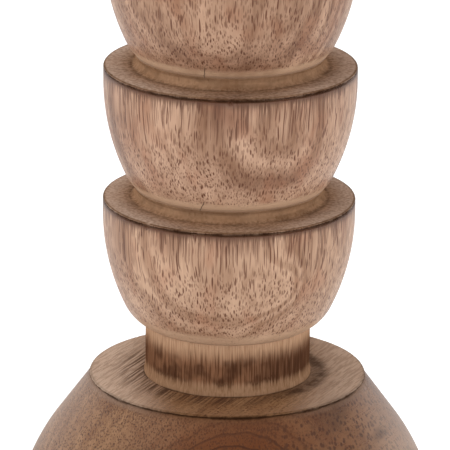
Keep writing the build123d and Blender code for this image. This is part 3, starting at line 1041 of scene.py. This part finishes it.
# %% Wood of the base
base_turn = Matrix.Rotation(radians(-90), 3, "Y") @ Matrix.Rotation(radians(-65.2), 3, "Z")
base_tones = [tone(158, 120, 87), tone(110, 73, 47), tone(114, 71, 42), tone(84, 52, 34)]
sap_and_sheen_pale = tone(208, 181, 160)
red_heart = tone(92, 48, 22)
ring_brown = tone(62, 34, 20)
old_finish = tone(58, 38, 27)
pit_brown = tone(70, 42, 28)
streak_brown = tone(74, 50, 37)
base_growth = ((-2, -52, 31), 2.7, (0, -45, 25), 14.0, 2.0)
wood = Wood("base", base_tones, base_growth, (0.95, 1.0, 0.5, 0.45), turn=base_turn)
tree = wood.tree
across, _, height = split(tree, wood.point)
on_top = fade(tree, height, 52.0, 54.0)
flank = calc(tree, "SUBTRACT", 1.0, on_top)
from_pith = wood.growth["From Pith"]
heart = fade(tree, from_pith, 12.0, 42.0, 1.0, 0.0)
rings = product(tree, wood.growth["Line"], fade(tree, from_pith, 12.0, 28.0, 1.0, 0.1))
wood.lay(product(tree, flank, heart), 0.95, red_heart)
wood.lay(product(tree, flank, rings), 1.0, ring_brown)
specks = fade(tree, cloud(tree, wood.point, (1.1, 1.1, 1.1), 3), 0.5, 0.66)
wood.lay(product(tree, on_top, specks), 0.5, old_finish)
for spacing, strength, side in ((0.6, 0.65, fade(tree, across, 4.0, 26.0, 1.0, 0.2)),
                                (1.25, 0.8, fade(tree, across, 0.0, 20.0))):
    pits = add(tree, "TexVoronoi")
    feed(tree, pits.inputs["Vector"], calc_vector(tree, "MULTIPLY", wood.point, (1.0, 0.8, 0.6)))
    feed(tree, pits.inputs["Scale"], 1 / spacing)
    dots = fade(tree, pits.outputs["Distance"], 0.22, 0.48, 1.0, 0.0)
    wood.lay(product(tree, flank, dots, side), strength, pit_brown)
# Paler at the left and right of the shoulder: partly sapwood, partly painted sheen.
left_sap_and_sheen = fade(tree, across, -34.0, -12.0, 0.9, 0.0)
right_sap_and_sheen = fade(tree, across, 14.0, 34.0, 0.0, 0.75)
wood.lay(product(tree, on_top, calc(tree, "MAXIMUM", left_sap_and_sheen, right_sap_and_sheen)), 1.0, sap_and_sheen_pale)
hairs = fade(tree, cloud(tree, wood.grain, (1.9, 1.9, 0.2), 3), 0.42, 0.62)
wood.lay(product(tree, on_top, hairs), 0.38, end_grain_and_shade_brown)
wood.roughness = calc(tree, "MULTIPLY_ADD", on_top, 0.2, 0.4)
wood.shine = product(tree, wood.shine, flank, 0.6)
# Painted sheen: the dome is paler towards its right edge.
wood.lay(product(tree, flank, fade(tree, across, 34.0, 54.0)), 0.28, sap_and_sheen_pale)
# Painted shade and dirt in the seam round the foot of the neck.
wood.seam_shade_and_dirt(neck_foot_radius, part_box("base")[1].z, 0.5, 0.6)
radius = radius_of(tree, wood.point)
streaks = fade(tree, cloud(tree, wood.grain, (1.5, 1.5, 0.07), 3), 0.4, 0.6)
streaked = fade(tree, radius, 26.0, 34.0, 1.0, 0.0)
streaked = product(tree, on_top, streaked, fade(tree, across, 0.0, 20.0, 1.0, 0.2), streaks)
wood.lay(streaked, 0.8, streak_brown)
mottled = fade(tree, cloud(tree, wood.point, (0.3, 0.3, 0.3), 4), 0.35, 0.6, 0.4, 1.0)
smudge = fade(tree, calc(tree, "ABSOLUTE", calc(tree, "SUBTRACT", radius, 26.0)), 0.5, 3.6, 1.0, 0.0)
wood.lay(product(tree, on_top, smudge, mottled, fade(tree, across, 8.0, 20.0)), 0.75, old_finish)
wood.patch((30, -26, 52), (9, 9, 9), 0.5, old_finish)
wood.patch((43, -18, 44), (4, 5, 7), 0.5, old_finish)
wood.rim(shoulder_radius, rim_lines["base"], 0.15, 0.6)
wood.finish(wood_pieces["base"])

# %% [markdown]
# The iron is blackened with oil, so it is dark and satin, with a few brown specks where the black has
# worn thin. The hardware is zinc plated, pale and slightly blue, with fine turning marks. Both read
# noise into their roughness, because metal shows its age in its shine more than in its colour.

# %% Iron and zinc plate
def new_metal(name, base, fleck, fleck_share, metallic, rough_low, rough_high, grain_scale, dent):
    material, tree, surface, point = new_material(name)
    wear = cloud(tree, point, (0.3, 0.3, 0.3), 4)
    grit = cloud(tree, point, grain_scale, 3)
    flecks = fade(tree, cloud(tree, point, (0.8, 0.8, 0.8), 4), 0.62, 0.72, 0.0, fleck_share)
    lighter = [level * 1.6 for level in base[:3]] + [1]
    shaded = blend(tree, fade(tree, wear, 0.35, 0.65), base, lighter)
    feed(tree, surface.inputs["Base Color"], blend(tree, flecks, shaded, fleck))
    feed(tree, surface.inputs["Metallic"], metallic)
    feed(tree, surface.inputs["Roughness"], fade(tree, wear, 0.3, 0.7, rough_low, rough_high))
    emboss(tree, surface, calc(tree, "ADD", grit, wear), 0.4, dent)
    return material


iron = new_metal("iron", tone(44, 42, 41), tone(96, 62, 42), 0.6, 0.7, 0.42, 0.6,
                 (1.5, 1.5, 1.5), 0.12 * MM)
zinc = new_metal("zinced_steel", tone(176, 180, 186), tone(120, 122, 126), 0.5, 1.0, 0.28, 0.45,
                 (0.6, 0.6, 6.0), 0.02 * MM)
for piece in (drip_pan, spike):
    piece.data.materials.append(iron)
tie_rod.data.materials.append(zinc)
for node in ("base_nut", "spring_washer", "base_washer"):
    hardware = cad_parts[node].data
    hardware.materials.clear()
    hardware.materials.append(zinc)
print("metal on", drip_pan.name, spike.name, tie_rod.name, "and the hardware")

# %% [markdown]
# Felt is pressed wool. It has no threads, only a tangle of fibres, so two noises at different scales
# make its colour and its furry relief, and the shader's sheen gives the pale bloom at its edges.

# %% Felt
felt_dark = tone(48, 43, 40)
felt_pale = tone(82, 75, 69)
felt, tree, surface, point = new_material("felt")
tangle = cloud(tree, point, (4.0, 4.0, 4.0), 5)
tufts = cloud(tree, point, (0.9, 0.9, 0.9), 3)
fur = calc(tree, "ADD", tangle, tufts)
wool = blend(tree, fade(tree, fur, 0.7, 1.3), felt_dark, felt_pale)
feed(tree, surface.inputs["Base Color"], wool)
feed(tree, surface.inputs["Roughness"], 0.95)
feed(tree, surface.inputs["Specular IOR Level"], 0.1)
feed(tree, surface.inputs["Sheen Weight"], 0.3)
emboss(tree, surface, fur, 0.7, 0.25 * MM)
felt_feet.data.materials.append(felt)
print("felt on", felt_feet.name)

# %% [markdown]
# The stage is a photographer's white sweep. The camera stands well back with a long lens and looks
# down a little, which is why the rims read as flat ovals. It leans by less than a degree, as a camera
# on a tripod often does.

# %% Camera
photo_pixels = 450
pixel_size = 0.28 * MM
camera_distance = 1.385
camera_pitch = radians(17.49)
camera_roll = radians(0.62)
aim_below_rim = 7.85 * MM
aim_left = 1.08 * MM

aim = Vector((-aim_left, 0, rim_lines["lower_bowl"] - aim_below_rim))
camera_data = bpy.data.cameras.new("camera")
camera_data.lens = camera_data.sensor_width * camera_distance / (pixel_size * photo_pixels)
camera = bpy.data.objects.new("camera", camera_data)
bpy.context.scene.collection.objects.link(camera)
back = Vector((0, -cos(camera_pitch), sin(camera_pitch)))
facing = (-back).to_track_quat("-Z", "Y").to_matrix().to_4x4()
camera.matrix_world = (Matrix.Translation(aim + back * camera_distance) @ facing
                       @ Matrix.Rotation(camera_roll, 4, "Z"))
bpy.context.scene.camera = camera
print("lens", round(camera_data.lens), "mm")

# %% [markdown]
# The floor is white paper. A camera ray and a mirror ray see it a little brighter than it is lit, so
# it comes out white and still keeps the soft shadow. A bright backdrop plane could do it too, but then
# the horizon would have to be hidden.

# %% Floor
floor_half = 3.0
floor_build = bmesh.new()
bmesh.ops.create_grid(floor_build, x_segments=1, y_segments=1, size=floor_half)
floor_mesh = bpy.data.meshes.new("floor")
floor_build.to_mesh(floor_mesh)
floor_build.free()
floor = bpy.data.objects.new("floor", floor_mesh)
bpy.context.scene.collection.objects.link(floor)
floor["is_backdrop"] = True

paper = bpy.data.materials.new("paper")
paper.use_nodes = True
tree = paper.node_tree
seen = add(tree, "LightPath").outputs
direct = calc(tree, "MAXIMUM", seen["Is Camera Ray"], seen["Is Glossy Ray"])
direct = calc(tree, "MAXIMUM", direct, seen["Is Transmission Ray"])
sheet = tree.nodes["Principled BSDF"]
feed(tree, sheet.inputs["Base Color"], (0.85, 0.85, 0.85, 1))
feed(tree, sheet.inputs["Roughness"], 0.9)
feed(tree, sheet.inputs["Specular IOR Level"], 0.0)
feed(tree, sheet.inputs["Emission Color"], (1, 1, 1, 1))
feed(tree, sheet.inputs["Emission Strength"], calc(tree, "MULTIPLY", direct, 0.45))
floor_mesh.materials.append(paper)
print("floor:", round(2 * floor_half, 1), "m wide")

# %% [markdown]
# A studio for small goods is a tent of white cloth with soft boxes round it. The world is the tent. It is
# dimmer overhead, because a bright zenith would lay a veil over the dark wood, and brighter behind and on
# the left. Area lamps are the soft boxes: three in front, and two behind that draw the outline.

# %% World and lamps
world = bpy.data.worlds.new("tent")
world.use_nodes = True
tree = world.node_tree
across, away, rise = split(tree, add(tree, "TexCoord").outputs["Generated"])
background = tree.nodes["Background"]
feed(tree, background.inputs["Color"], (1, 1, 1, 1))
overhead = fade(tree, rise, 0.3, 0.95, 1.0, 0.3)
behind = fade(tree, away, -0.2, 0.7, 1.0, 1.4)
aside = fade(tree, across, -0.7, 0.7, 1.25, 0.85)
feed(tree, background.inputs["Strength"], product(tree, overhead, behind, aside))
bpy.context.scene.world = world
bpy.context.scene.view_settings.view_transform = "Standard"

lamp_boxes = {
    "left_box": ((-0.8, -0.3, 0.65), 0.7, 3.0),
    "right_box": ((0.9, -0.3, 0.3), 0.7, 3.0),
    "front_box": ((0.0, -1.0, 0.06), 0.5, 3.0),
    "left_rim_box": ((-0.8, 0.7, 0.3), 0.5, 0.5),
    "right_rim_box": ((0.8, 0.7, 0.3), 0.5, 1.0),
}
for name, (spot, size, energy) in lamp_boxes.items():
    lamp_data = bpy.data.lights.new(name, "AREA")
    lamp_data.size = size
    lamp_data.energy = energy
    lamp = bpy.data.objects.new(name, lamp_data)
    bpy.context.scene.collection.objects.link(lamp)
    facing = (aim - Vector(spot)).to_track_quat("-Z", "Y").to_matrix().to_4x4()
    lamp.matrix_world = Matrix.Translation(spot) @ facing
print("lamps:", ", ".join(lamp_boxes))

# %% [markdown]
# The dressed stand has to keep the size of the frame, so its box is printed, in millimetres.

# %% Sizes for the record, and the end
low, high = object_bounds()
print("visual box in mm:", [round((top - bottom) / MM, 1) for bottom, top in zip(low, high)])
